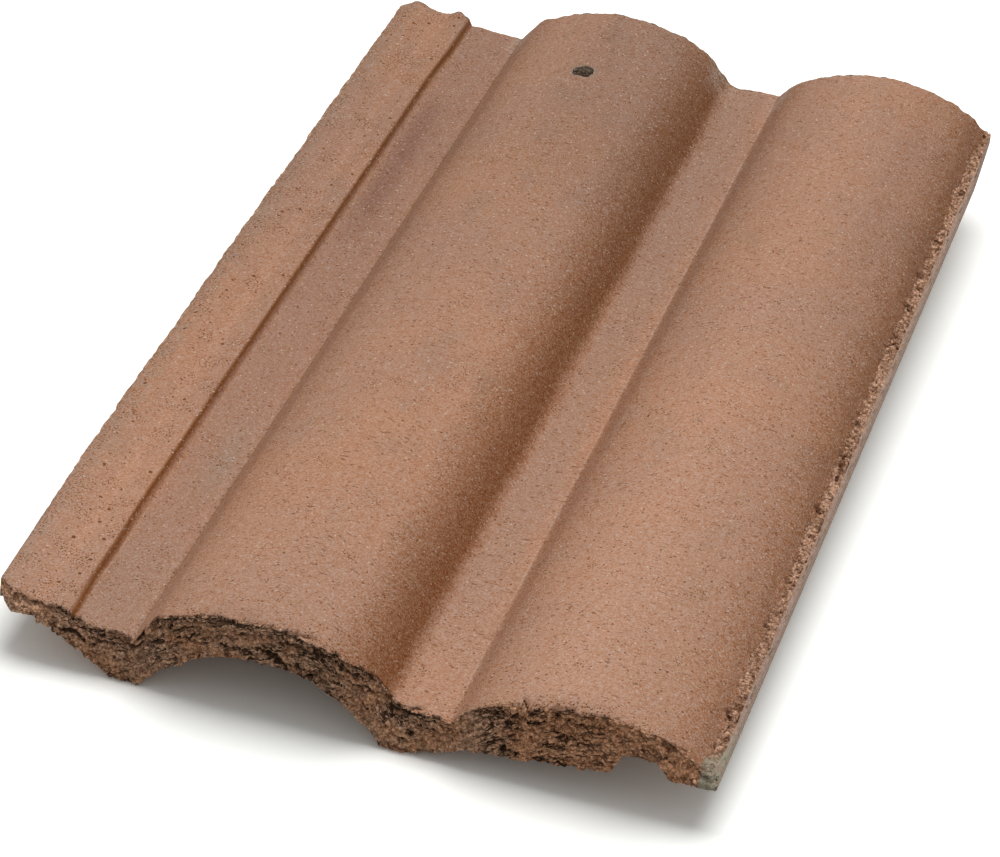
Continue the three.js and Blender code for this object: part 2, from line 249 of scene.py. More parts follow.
def along(table, place):
    """The value of a table of (place, value) rows, in straight lines between its rows."""
    index = min(max(bisect_right(table, (place,)), 1), len(table) - 1)
    (a, low), (b, high) = table[index - 1], table[index]
    return low + (high - low) * min(1.0, max(0.0, (place - a) / (b - a)))


def wander(x, y=0.0, z=0.0, seed=0.0):
    """Smooth noise between about -1 and 1."""
    return noise.noise(Vector((x, y + seed * 7.31, z + seed * 3.17)))


def grains(x, y, z=0.0, seed=0.0):
    """Rounded lumps: 1 in the middle of a grain and about 0 between grains."""
    near = noise.voronoi(Vector((x + seed, y, z)))[0][0]
    return max(0.0, 1.0 - 1.6 * near)


def nearness(px, py, row):
    """How near a point is to a line with tapered ends: 1 on the line, 0 past its half width."""
    ax, ay, bx, by, half = row[:5]
    dx, dy = bx - ax, by - ay
    t = min(1.0, max(0.0, ((px - ax) * dx + (py - ay) * dy) / (dx * dx + dy * dy)))
    half *= 0.45 + 0.55 * math.sin(math.pi * (0.08 + 0.84 * t))
    return fade(0.35 * half, 1.25 * half, math.hypot(px - ax - t * dx, py - ay - t * dy))


def tile_to_floor():
    """From the tile's own axes in millimetres to the floor's in metres."""
    return (
        Matrix.Translation(Vector((-FIRST_VALLEY, -TAIL, 0.0)) * MM)
        @ Matrix.Rotation(LYING_ANGLE, 4, "X")
        @ Matrix.Scale(MM, 4)
    )


def part_of(face):
    """Which part of the tile a face of the plain solid belongs to."""
    n, c = face.normal, face.calc_center_median()
    if abs(n.y) > 0.9 and (c.y < 1 or c.y > LENGTH - 1):
        return TAIL_CUT if c.y < 1 else HEAD_CUT
    upright = abs(n.z) < 0.5
    if upright and math.hypot(c.x - NAIL_HOLE[0], c.y - NAIL_HOLE[1]) < HOLE_RADIUS + 0.4:
        return HOLE
    if upright and c.x > LIP_START - 2 and c.z > LOCK_HEIGHT:
        return SIDE
    if upright and c.x < FLANGE_EDGE + 8.6:
        return TAIL_CUT if c.y < 6.5 and n.y < -0.1 else FLANGE
    return SKIN if n.z > 0.05 and c.z > 10 else UNDERSIDE


def slice_faces(bm, faces, places, axis):
    """Cuts faces by planes across an axis, halving the list so that each face is met few times."""
    if not places or not faces:
        return
    middle = len(places) // 2
    at = places[middle]
    low, high, across = [], [], []
    for face in faces:
        reach = [v.co[axis] for v in face.verts]
        (low if max(reach) <= at + 1e-3 else high if min(reach) >= at - 1e-3 else across).append(face)
    if across:
        point, normal = Vector(), Vector()
        point[axis], normal[axis] = at, 1.0
        geometry = {part for face in across for part in (face, *face.edges, *face.verts)}
        made = bmesh.ops.bisect_plane(bm, geom=list(geometry), dist=1e-3, plane_co=point, plane_no=normal)
        for face in made["geom"]:
            if isinstance(face, bmesh.types.BMFace):
                (low if face.calc_center_median()[axis] < at else high).append(face)
    slice_faces(bm, low, places[:middle], axis)
    slice_faces(bm, high, places[middle + 1 :], axis)


def filled(places, gap):
    """The places between the first and the last, with more wherever a gap is too wide."""
    made = []
    for a, b in zip(places, places[1:]):
        count = max(1, math.ceil((b - a) / gap - 1e-6))
        made += [a + (b - a) * i / count for i in range(1, count + 1)]
    return made[:-1]


def faces_of(bm, layer, *parts):
    return [face for face in bm.faces if face[layer] in parts]


def lines_of(bm, layer, part):
    """The x of every mesh line that runs along the tile on one part."""
    return sorted({round(v.co.x, 2) for f in faces_of(bm, layer, part) for v in f.verts if v.co.y < 0.1})


def slanted_edges(bm, layer):
    """Edges that cross a flat strip between two mesh lines, and hold nothing else apart."""
    found = []
    for edge in bm.edges:
        a, b = edge.link_faces
        p, q = (vert.co for vert in edge.verts)
        x, y = (p.x + q.x) / 2 - NAIL_HOLE[0], (p.y + q.y) / 2 - NAIL_HOLE[1]
        beside_hole = abs(x) < 2 * HOLE_RADIUS and abs(y) < 2 * HOLE_RADIUS
        flat = a.normal.angle(b.normal) < 0.01
        if a[layer] == b[layer] and abs(p.x - q.x) > 0.01 and flat and not beside_hole:
            found.append(edge)
    return found


def halve(bm, faces):
    """Splits each face of a patch in four."""
    edges = {edge for face in faces for edge in face.edges}
    bmesh.ops.subdivide_edges(bm, edges=list(edges), cuts=1, use_grid_fill=True)


def fine_solid(shape):
    """A copy of the plain solid with a mesh fine enough to be worn, in the tile's own axes."""
    bm = bmesh.new()
    bm.from_mesh(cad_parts[NODE].data)
    bm.transform(tile_to_floor().inverted())
    bmesh.ops.remove_doubles(bm, verts=bm.verts, dist=MERGE_PLAIN)
    bmesh.ops.dissolve_limit(bm, angle_limit=FLAT_ANGLE, verts=bm.verts, edges=bm.edges)
    bmesh.ops.triangulate(bm, faces=[face for face in bm.faces if len(face.verts) > 4])
    bm.normal_update()
    layer = bm.faces.layers.int.new("part")
    for face in bm.faces:
        face[layer] = part_of(face)

    skin_gap, under_gap, cut_gap = (
        size / MM for size in (shape.skin_mesh, shape.underside_mesh, shape.cut_mesh)
    )
    skin_lines = filled(lines_of(bm, layer, SKIN), skin_gap)
    lip_lines = filled([x for x in skin_lines if x > LIP_START + 1] + [SIDE_FACE], 0.6 * skin_gap)
    skin_lines = sorted({*skin_lines, *lip_lines})
    under_lines = filled(lines_of(bm, layer, UNDERSIDE), under_gap)
    slice_faces(bm, faces_of(bm, layer, SKIN, TAIL_CUT, HEAD_CUT), skin_lines, 0)
    slice_faces(bm, faces_of(bm, layer, UNDERSIDE), under_lines, 0)
    beside_hole = [NAIL_HOLE[1] + side * 2 * HOLE_RADIUS for side in (-1, 1)]
    slice_faces(bm, faces_of(bm, layer, SKIN, UNDERSIDE), beside_hole, 1)
    bm.normal_update()
    bmesh.ops.dissolve_edges(bm, edges=slanted_edges(bm, layer), use_verts=False)
    crown = CROWN_HEIGHT + 0.2
    slice_faces(bm, faces_of(bm, layer, TAIL_CUT), filled([0.0, crown], cut_gap), 2)
    slice_faces(bm, faces_of(bm, layer, HEAD_CUT), filled([0.0, crown], 1.6 * cut_gap), 2)
    upright_rows = filled([LOCK_HEIGHT - 1, crown], cut_gap)
    slice_faces(bm, faces_of(bm, layer, HOLE, SIDE, FLANGE), upright_rows, 2)

    # Rows lie close together behind the tail, and all along the lip.
    tail_rows = [0.9, 1.8, 2.8, 4.0, 5.4, 7.0]
    lip_gap = 0.8
    lip, rest = [], []
    for face in faces_of(bm, layer, SKIN, SIDE):
        (lip if face.calc_center_median().x > LIP_START else rest).append(face)
    rest_rows = [*tail_rows, *filled([tail_rows[-1] + 0.8 * skin_gap, LENGTH], skin_gap)]
    slice_faces(bm, rest, rest_rows, 1)
    slice_faces(bm, lip, [*tail_rows, *filled([tail_rows[-1] + lip_gap, LENGTH], lip_gap)], 1)
    slice_faces(bm, faces_of(bm, layer, FLANGE), filled([0.0, LENGTH], skin_gap), 1)
    under_rows = [1.5, 3.5, *filled([6.0, LENGTH], under_gap * 1.4)]
    slice_faces(bm, faces_of(bm, layer, UNDERSIDE), under_rows, 1)

    bmesh.ops.remove_doubles(bm, verts=bm.verts, dist=MERGE_FINE)
    halve(bm, faces_of(bm, layer, TAIL_CUT))
    halve(bm, [face for face in faces_of(bm, layer, SKIN) if face.calc_center_median().y < tail_rows[3]])
    bmesh.ops.triangulate(bm, faces=[face for face in bm.faces if len(face.verts) > 4])
    bm.normal_update()
    return bm, layer


def section_of(bm, layer):
    """Tables of the height of the tile's top and of its underside at each x, from the tail cut's outline."""
    tops, floors = {}, {}
    for edge in bm.edges:
        parts = {face[layer] for face in edge.link_faces}
        if TAIL_CUT in parts and len(parts) == 2:
            rows = floors if UNDERSIDE in parts else tops
            for vert in edge.verts:
                rows[round(vert.co.x, 2)] = vert.co.z
    return sorted(tops.items()), sorted(floors.items())


# ---- wear ----


def cut_depth(x, z, below_skin, shape):
    """How far the torn end has broken in at a point, and how hollow it is there, from 0 to 1."""
    grain = shape.grain_relief / MM
    deep = shape.fissure_depth / MM
    shift_x = 1.1 * wander(x / 1.7, z / 1.7, seed=40)
    shift_z = 0.8 * wander(x / 1.9, z / 1.5, seed=41)
    rows = wander((x + shift_x) / 3.6, (below_skin + shift_z) / 1.25, seed=1)
    short = wander((x + shift_x) / 1.7, (below_skin + shift_z) / 0.9, seed=2)
    crowded = smooth(-0.45, 0.25, wander(x / 13, below_skin / 6, seed=3))
    crowded *= 1.0 - 0.85 * smooth(SOUND_RIGHT, SOUND_RIGHT + 24, x)
    crowded *= 0.3 + 0.7 * smooth(SOUND_LEFT - 6, SOUND_LEFT + 1, x)
    crowded *= 0.4 + 0.6 * smooth(4, 9, abs(x - SOUND_MIDDLE))
    hollow = deep * crowded * (smooth(0.12, 0.5, rows) + 0.45 * smooth(0.2, 0.6, short))
    for row in CUT_GAPS:
        if row[0] - 2 < x < row[2] + 2:
            near = nearness(x + 0.5 * shift_x, z + 0.8 * shift_z, row)
            hollow = max(hollow, row[5] * near * (0.8 + 0.5 * short))
    lumps = grains(x / 2.9, z / 2.3) + 0.8 * grains(x / 1.45, z / 1.3, seed=9)
    lumps += 0.9 * wander(x / 0.77, z / 0.61, seed=44)
    rough = 0.8 * wander(x / 11, z / 6, seed=3) + 0.45 * wander(x / 3.2, z / 2.4, seed=4)
    return max(0.0, 1.1 + rough - grain * lumps + hollow), min(1.0, hollow / 2.2)


def tail_droop(x, y, z, upper, push):
    """Lets the upper edge of the tail hang down and crumble back."""
    crumbs = grains(x / 1.7, y / 1.7, z / 1.7, seed=30)
    ragged = 0.55 * wander(x / 1.6, y / 2.2, z / 2.5, seed=30) + 0.4 * wander(x / 4.5, y / 6, seed=31)
    push.z -= along(TAIL_DROP, x) * upper * fade(0.0, 7.5, y)
    push.y += along(TAIL_SETBACK, x) * upper * fade(0.0, TAIL_WEAR, y)
    bitten = smooth(0.05, 0.5, wander(x / 2.7, seed=39)) * upper * fade(0.4, 3.4, y)
    push.y += 1.5 * bitten
    push.z -= 0.6 * bitten
    push.z -= (0.5 + ragged - 0.5 * crumbs) * upper * fade(0.0, 2.6, y)
    push.y += max(0.0, 0.8 + 1.9 * ragged - 0.6 * crumbs) * upper * fade(0.0, 3.2, y)


def tail_wear(x, y, z, top, rise, parts, push, shape):
    """Tears the face of the tail open, and cracks the skin behind it. Gives how torn and hollow it is."""
    torn = hollow = 0.0
    if TAIL_CUT in parts:
        depth, hollow = cut_depth(x, z, top - z, shape)
        push.y += depth
        push.z += 0.35 * wander(x / 1.5, z / 1.5, seed=33) + 0.3 * wander(x / 0.83, z / 0.67, seed=32)
        torn = 1.0
        if rise < 0.2 and z > 1.5:
            hang = 0.9 * wander(x / 4, seed=34) + 0.8 * wander(x / 1.7, seed=35)
            push.z += hang * (1 - rise / 0.2)
    elif SKIN in parts:
        edge = 1.5 + 1.9 * wander(x / 2.1, seed=36) + 1.1 * wander(x / 7, seed=37)
        torn = fade(0.0, 1.6, y / max(0.4, edge)) * 0.95
        for row in SKIN_CRACKS:
            if min(row[0], row[2]) - 2 < x < max(row[0], row[2]) + 2:
                wobble = 0.7 * wander(x / 1.2, y / 1.2, seed=38)
                gap = nearness(x + wobble, y + 0.6 * wobble, row)
                push.z -= row[5] * gap
                torn, hollow = max(torn, gap), max(hollow, gap)
    elif parts == {UNDERSIDE} and y < 7 and z > 1.5:
        hang = 0.9 * wander(x / 4, y / 5, seed=34) + 0.7 * wander(x / 1.7, y / 2.5, seed=35)
        push.z += hang * fade(0.0, 6.0, y)
        torn = fade(0.5, 3.5, y)
    return torn, hollow


def lip_wear(x, y, z, normal, parts, push, shape):
    """Crumbles the lip's top and leaves its side face smooth. Gives how hollow and chipped it is."""
    inward = SIDE_FACE - x
    kept = smooth(0.0, 22.0, LENGTH - y)
    if SIDE in parts and z < LIP_CORNER - 0.2:
        lean = smooth(15.6, LIP_CORNER, z) * (0.9 + 0.5 * wander(y / 9, seed=63)) * kept
        push.x -= lean * shape.edge_wear / MM * 0.6
        return 0.0, 0.35 * smooth(LIP_CORNER - 1.2, LIP_CORNER, z)
    inner = 5.6 + 1.3 * wander(y / 7, seed=60) + 1.0 * wander(y / 2.3, seed=61)
    outer = 1.9 + 0.7 * wander(y / 4, seed=62) + 1.3 * fade(5.0, 20.0, y)
    inside = fade(0.74 * inner, 1.04 * inner, inward) * smooth(0.35 * outer, outer, inward)
    edge = fade(0.3, 2.6, inward)
    crumble = 0.75 + 0.5 * wander(y / 8, seed=65) + 0.4 * wander(y / 2.2, seed=66)
    push.x -= 0.55 * edge * kept * crumble * shape.edge_wear / MM
    push.z -= 0.5 * edge * (0.35 + 0.65 * kept) * crumble * shape.edge_wear / MM
    lumps = grains(x / 1.9, y / 1.9, z / 1.9, seed=70)
    lumps += 0.9 * grains(x / 1.1, y / 1.1, z / 1.1, seed=71)
    rough = 0.6 * wander(x / 1.5, y / 1.8, z / 1.5, seed=64) + 0.5 * wander(x / 0.77, y / 0.71, z, seed=59)
    crowded = smooth(-0.35, 0.25, wander(y / 12, seed=69))
    hollow = crowded * inside * smooth(0.1, 0.42, wander(x / 1.5, y / 2.1, seed=67))
    push += normal * (inside * (0.9 * lumps + rough - 0.8) - 1.2 * hollow)
    for hole_x, hole_y, radius, depth in LIP_HOLES:
        if abs(y - hole_y) < 2.2 * radius:
            wobble = 0.9 * wander(x / 1.2, y / 1.2, seed=68)
            away = math.hypot(y - hole_y + wobble, x - hole_x + wobble)
            pit = fade(0.3 * radius, 1.1 * radius, away)
            push -= Vector((0.3, 0.0, 0.95)) * depth * pit
            hollow = max(hollow, pit)
    return min(1.0, hollow), inside


def head_wear(x, y, z, floor, rise, parts, push):
    """Roughens the cut of the head, and raises the lumps on its upper edge."""
    if HEAD_CUT in parts:
        lumps = grains(x / 2.8, z / 2.4, seed=50)
        push.y -= max(0.0, 0.5 + 0.6 * wander(x / 6, z / 4, seed=50) - 0.7 * lumps)
        push.z -= max(0.0, 0.2 + 0.5 * wander(x / 2.6, seed=51)) * smooth(0.6, 1.0, rise)
    if z > floor + 4:
        for place, height, radius in HEAD_LUMPS:
            away = math.hypot(x - place, 0.8 * (LENGTH - y))
            push.z += height * fade(0.2 * radius, 1.6 * radius, away)


def flange_wear(x, y, z, outer, push):
    """Nibbles the flange's outer edge and rounds its corner at the tail. Gives how torn and chipped it is."""
    bite = max(0.0, 0.3 + 0.6 * wander(y / 9, seed=80) + 0.7 * wander(y / 2.8, z / 3, seed=81))
    push.x += 0.6 * bite * fade(0.0, 3.0, outer)
    push.z -= 0.5 * bite * fade(0.0, 4.0, outer) * smooth(17.0, 20.0, z)
    corner = fade(0.0, FLANGE_WEAR, outer) * fade(0.0, 6.5, y)
    push.x += 2.2 * corner
    push.y += 1.2 * corner
    push.z -= 1.3 * corner * smooth(14.0, 19.0, z)
    torn = smooth(0.12, 0.5, corner + 0.3 * wander(x / 1.6, y / 1.6, z / 1.6, seed=83))
    return torn, 0.8 * fade(0.3, 2.4 + wander(y / 4, seed=82), outer)


def hole_wear(x, y, z, from_hole, rise, parts, push):
    """Chips the rim of the nail hole and roughens its wall."""
    turn = math.atan2(y - NAIL_HOLE[1], x - NAIL_HOLE[0])
    rim = fade(HOLE_RADIUS - 0.2, HOLE_RADIUS + 1.5, from_hole)
    chips = wander(2.6 * math.cos(turn), 2.6 * math.sin(turn), z / 1.6, seed=90)
    if parts & {SKIN, HOLE}:
        push.z -= rim * smooth(0.5, 1.0, rise) * max(0.0, 0.3 + 0.6 * chips)
    if HOLE in parts:
        outward = Vector((math.cos(turn), math.sin(turn), 0.0))
        push += outward * (0.5 * chips - 0.35 + 0.3 * smooth(0.6, 1.0, rise))


def worn_place(x, y, z, normal, top, floor, parts, shape):
    """How far a point of the solid moves once worn, and how torn, hollow and chipped it is there."""
    torn = hollow = chipped = 0.0
    push = Vector()
    rise = min(1.0, max(0.0, (z - floor) / max(1.0, top - floor)))

    slow = 0.8 * wander(x / 45, y / 75, seed=20) + 0.4 * wander(x / 16, y / 24, seed=21)
    if SKIN in parts:
        ripple = wander(x / 9, y / 3.4, seed=22) * smooth(0.0, 0.4, wander(x / 30, y / 30, seed=23))
        uneven = slow + 0.45 * wander(x / 5, y / 5, seed=24) + 0.6 * ripple
        push += normal * (shape.skin_relief / MM) * uneven
    elif parts == {UNDERSIDE} and z > 1:
        push += normal * 0.12 * slow

    if y < TAIL_WEAR:
        if z > floor - 1:
            tail_droop(x, y, z, smooth(0.25, 1.0, rise), push)
        torn, hollow = tail_wear(x, y, z, top, rise, parts, push, shape)
    if y > LENGTH - HEAD_WEAR:
        head_wear(x, y, z, floor, rise, parts, push)
        torn = 0.85 if HEAD_CUT in parts else 0.0
    if x > LIP_START and z > LOCK_HEIGHT and parts & {SKIN, SIDE}:
        pitted, chipped = lip_wear(x, y, z, normal, parts, push, shape)
        hollow = max(hollow, pitted)
    outer = x - FLANGE_EDGE
    if outer < FLANGE_WEAR and z > LOCK_HEIGHT - 1:
        frayed, nibbled = flange_wear(x, y, z, outer, push)
        torn, chipped = max(torn, frayed), max(chipped, nibbled)
    from_hole = math.hypot(x - NAIL_HOLE[0], y - NAIL_HOLE[1])
    if from_hole < HOLE_RADIUS + HOLE_WEAR and z > floor - 1:
        hole_wear(x, y, z, from_hole, rise, parts, push)
    return push, torn, hollow, chipped


def wear(bm, layer, shape):
    """Wears the fine copy of the solid, and leaves the marks of wear on its points."""
    section = section_of(bm, layer)
    marks = [bm.verts.layers.float.new(name) for name in MARKS]
    moves = []
    for vert in bm.verts:
        parts = {face[layer] for face in vert.link_faces}
        top, floor = (along(heights, vert.co.x) for heights in section)
        push, *values = worn_place(*vert.co, vert.normal, top, floor, parts, shape)
        values += [float(HOLE in parts), top - vert.co.z, float(UNDERSIDE in parts)]
        for mark, value in zip(marks, values):
            vert[mark] = value
        moves.append(push)
    for vert, push in zip(bm.verts, moves):
        vert.co += push


def inside_box(bm, low, high):
    """Keeps every point inside the box of the plain solid."""
    for vert in bm.verts:
        vert.co = [min(max(value, a), b) for value, a, b in zip(vert.co, low, high)]


# ---- shader tools ----


class Signal:
    """A shader socket that takes part in sums: numbers through Math, vectors through Vector Math."""

    def __init__(self, graph, socket):
        self.graph, self.socket = graph, socket

    def _apply(self, operation, first, second=None):
        vector = any(isinstance(x, Signal) and x.socket.type == "VECTOR" for x in (first, second))
        kind = "ShaderNodeVectorMath" if vector else "ShaderNodeMath"
        inputs = {0: first} if second is None else {0: first, 1: second}
        return self.graph.node(kind, {"operation": operation}, inputs)

    def __add__(self, other):
        return self._apply("ADD", self, other)

    def __radd__(self, other):
        return self._apply("ADD", other, self)

    def __sub__(self, other):
        return self._apply("SUBTRACT", self, other)

    def __rsub__(self, other):
        return self._apply("SUBTRACT", other, self)

    def __mul__(self, other):
        return self._apply("MULTIPLY", self, other)

    def __rmul__(self, other):
        return self._apply("MULTIPLY", other, self)

    def __abs__(self):
        return self._apply("ABSOLUTE", self)

    def most(self, *others):
        """The greatest of this and the others."""
        greatest = self
        for other in others:
            greatest = self._apply("MAXIMUM", greatest, other)
        return greatest

    def least(self, other):
        return self._apply("MINIMUM", self, other)

    def rise(self, low, high):
        """0 below low and 1 above high, with a soft rise between, or the other way round if low is higher."""
        return self.graph.node(
            "ShaderNodeMapRange",
            {"interpolation_type": "SMOOTHSTEP"},
            {"Value": self, "From Min": low, "From Max": high},
        )

    def within(self, start, full, ebb, end):
        """1 from full to ebb, and 0 before the start and after the end."""
        return self.rise(start, full) * self.rise(end, ebb)

    def around(self, middle, half):
        """1 at a middle value and 0 further than half away from it."""
        return abs(self - middle).rise(half, 0.0)


class Graph:
    """The node tree of one material or world."""

    def __init__(self, owner):
        owner.use_nodes = True
        self.tree = owner.node_tree
        self.tree.nodes.clear()

    def node(self, kind, settings=None, inputs=None, output=0):
        """Adds a node with its settings and the values or links of its sockets, and gives one output."""
        made = self.tree.nodes.new(kind)
        for name, value in (settings or {}).items():
            setattr(made, name, value)
        for name, value in (inputs or {}).items():
            if isinstance(value, Signal):
                self.tree.links.new(value.socket, made.inputs[name])
            elif isinstance(value, (int, float)) and made.inputs[name].type == "VECTOR":
                made.inputs[name].default_value = (value, value, value)
            elif made.inputs[name].type == "RGBA" and len(value) == 3:
                made.inputs[name].default_value = (*value, 1.0)
            else:
                made.inputs[name].default_value = value
        return Signal(self, made.outputs[output]) if made.outputs else None

    def mix(self, share, below, above, blend="MIX"):
        """Lays one colour over another."""
        return self.node(
            "ShaderNodeMix",
            {"data_type": "RGBA", "blend_type": blend},
            {0: share, 6: below, 7: above},
            output=2,
        )

    def noise(self, place, size, detail=1.0, roughness=0.6):
        """Cloudy noise from about 0 to 1, in waves of a size in millimetres."""
        inputs = {"Vector": place, "Scale": 1 / size, "Detail": detail, "Roughness": roughness}
        return self.node("ShaderNodeTexNoise", inputs=inputs)

    def cells(self, place, size, flat=False):
        """Round cells: how far a place is from the middle of its cell, and the cell's own colour."""
        far = self.node(
            "ShaderNodeTexVoronoi",
            {"voronoi_dimensions": "2D" if flat else "3D"},
            {"Vector": place, "Scale": 1 / size},
        )
        return far, Signal(self, far.socket.node.outputs["Color"])

    def split(self, colour_in, part):
        """The red, green or blue of a colour, as part 0, 1 or 2."""
        return self.node("ShaderNodeSeparateColor", inputs={0: colour_in}, output=part)

    def mark(self, name):
        """One of the marks that the wear leaves on the mesh's points."""
        return self.node("ShaderNodeAttribute", {"attribute_name": name}, output="Fac")


def tile_axes(graph):
    """Place on the tile in its own axes, in millimetres, for a mesh that lies on the floor."""
    place = graph.node("ShaderNodeTexCoord", output="Object")
    turn = Euler((-LYING_ANGLE, 0.0, 0.0))
    shift = Vector((FIRST_VALLEY, TAIL, 0.0))
    shift.rotate(turn)
    inputs = {"Vector": place, "Location": shift, "Rotation": turn, "Scale": 1 / MM}
    return graph.node("ShaderNodeMapping", inputs=inputs)


class Concrete(Graph):
    """The tile's one material: sanded skin, torn ends, crumbled lip, smooth side, underside, nail hole."""

    def __init__(self, material, finish):
        super().__init__(material)
        self.finish = finish
        self.place = place = tile_axes(self)
        self.x, self.y = (
            self.node("ShaderNodeSeparateXYZ", inputs={0: place}, output=axis) for axis in range(2)
        )
        self.torn, self.hollow, self.chipped, self.hole_wall, self.below_skin, self.underneath = (
            self.mark(name) for name in MARKS
        )
        self.patches = self.noise(place * (1.0, 0.55, 1.0), PATCH_SIZE, 2.0)
        self.mottle = self.noise(place, MOTTLE_SIZE, 2.0)
        self.grain = self.noise(place, GRAIN_SIZE)
        self.sand_far, sand = self.cells(place, SAND_SIZE)
        sand_tone, self.sand_pale, self.sand_edge = (self.split(sand, part) for part in range(3))
        self.crumb_far, crumbs = self.cells(place, CRUMB_SIZE)
        self.crumb_tone = self.split(crumbs, 0)
        # The same patterns, about 0.
        self.mottle_swing, self.grain_swing, self.sand_swing = (
            pattern - 0.5 for pattern in (self.mottle, self.grain, sand_tone)
        )
        self.by_flange = self.x.rise(SOUND_LEFT, SOUND_LEFT - 5.0)
        # Darker bands on the rolls' steep sides and feet: partly pigment, partly painted shade.
        self.flank_pigment_and_shade = self.pigment_and_shade_bands()

    def coated(self, base, *coats):
        """Lays coats over a base, each with its share from 0 to 1 and its colour."""
        for share, colour_over in coats:
            base = self.mix(share, base, colour_over)
        return base

    def toned(self, colour_in, tone, pigment=1.0):
        """A colour made lighter or darker; its dark grains keep more pigment than its light ones."""
        change = tone - 1.0
        red = 1.0 + (1.0 - 0.4 * pigment) * change
        blue = (1.0 + (1.0 + 0.5 * pigment) * change).most(0.02)
        scale = self.node("ShaderNodeCombineColor", inputs={0: red, 1: tone, 2: blue})
        return self.mix(1.0, colour_in, scale, "MULTIPLY")

    def gritty(self, shade, grit=0.5):
        """A shade from 0 to 1 broken up into grains where it fades."""
        loose = grit * shade.rise(0.0, 0.25) * (1.0 - 0.6 * shade)
        return (shade + loose * (self.sand_edge - 0.5 + 1.6 * self.grain_swing)).most(0.0).least(1.0)

    def specks(self, place, spacing, radius, share):
        """Round specks of uneven size, in the given share of the cells; 1 inside them."""
        far, cell = self.cells(place, spacing, flat=True)
        lot, soft = self.split(cell, 0), 0.1 / spacing
        inside = (far - radius / spacing * lot.rise(1.0 - share, 1.0)).rise(soft, -soft)
        return inside * lot.rise(1.0 - share, 1.02 - share)

    def pigment_and_shade_bands(self):
        """Where the steep sides and the feet of both rolls are darker: partly richer pigment, partly painted
        shade on the slopes and in the valleys.
        """
        x, y = self.x, self.y
        wavy = x + 2.5 * self.mottle_swing + 4.0 * (self.patches - 0.5)
        flank_1 = (0.8 * wavy.rise(57.0, 75.0) + 0.22 * wavy.rise(73.0, 78.5)) * wavy.rise(83.5, 77.5)
        flank_2 = wavy.rise(157.5, 179.0) * (0.5 + 0.3 * y.rise(20.0, 210.0))
        flank_2 = flank_2.most(0.13 * y.rise(180.0, 290.0) * x.rise(149.0, 159.0))
        foot_1 = x.rise(-1.2, 0.6) * wavy.rise(18.0, 2.0) * (0.3 + 0.13 * y.rise(20.0, 70.0))
        foot_2 = x.rise(99.0, 100.8) * wavy.rise(114.0, 102.5) * (0.3 + 0.12 * y.rise(20.0, 70.0))
        return self.gritty(flank_1.most(flank_2)).most(self.gritty(foot_1.most(foot_2), 0.3))

    def channel(self):
        """The coats of the channel between the flange and the first roll."""
        finish, x, y = self.finish, self.x, self.y
        channel = x.within(-19.2, -18.4, -1.2, 0.2)
        stain = (x + 14.0).around(0.0, 8.0) * y.within(215.0, 262.0, 312.0, 340.0)
        return (
            (channel * (0.6 + 0.4 * self.mottle.rise(0.25, 0.75)), finish.channel),
            (x.rise(-38.0, -43.0) * self.mottle.rise(0.3, 0.7) * 0.45, finish.film),
            (channel * stain * (0.2 + 0.5 * self.patches), finish.stain),
            (channel * (x + 6.0).around(0.0, 9.0) * y.around(95.0, 34.0) * 0.5, finish.film),
            (channel * y.rise(75.0, 30.0) * 0.6, finish.pan),
        )

    def lines(self):
        """The coats of the lines that run the tile's length: the flange's step, partly a dark deposit and
        partly painted shade in the step, and both valleys.
        """
        finish, x, y, swing = self.finish, self.x, self.y, self.grain_swing
        ragged = x + 0.3 * self.mottle_swing + 0.45 * swing
        ragged = ragged - 0.5 * y.rise(62.0, 38.0) - 0.6 * y.rise(24.0, 2.0) - 0.7 * y.rise(338.0, 368.0)
        rubbed = x.around(SECOND_VALLEY, 0.5) * (self.grain + self.patches - 0.5).rise(0.35, 0.65)
        return (
            # The step line: partly a dark deposit, partly painted shade in the step.
            ((ragged - FLANGE_STEP).around(0.0, 1.35), finish.step),
            (0.6 * (x + 0.7 * swing).around(0.2, 0.75), finish.crease),
            (rubbed * 0.3, finish.fleck),
        )

    def skin_light_and_shade(self):
        """How light the skin is, as painted light and shade: lighter towards the tail and on the second roll,
        where the light falls more; lighter beside the valleys and darker on the first roll towards the head.
        """
        x, y = self.x, self.y
        by_valleys = x.around(97.6, 2.6).most(x.around(-2.6, 2.0)) * self.mottle.rise(0.3, 0.7)
        painted_light_level = (0.84 + 0.18 * y.rise(330.0, 40.0) + 0.05 * x.around(90.0, 14.0)) * (1.0 + 0.1 * by_valleys)
        painted_light_level = painted_light_level * (1.0 + 0.11 * x.around(133.0, 28.0) + 0.07 * x.around(-31.0, 5.0))
        return painted_light_level * (1.0 - 0.12 * y.rise(235.0, 300.0) * x.within(20.0, 42.0, 62.0, 80.0))

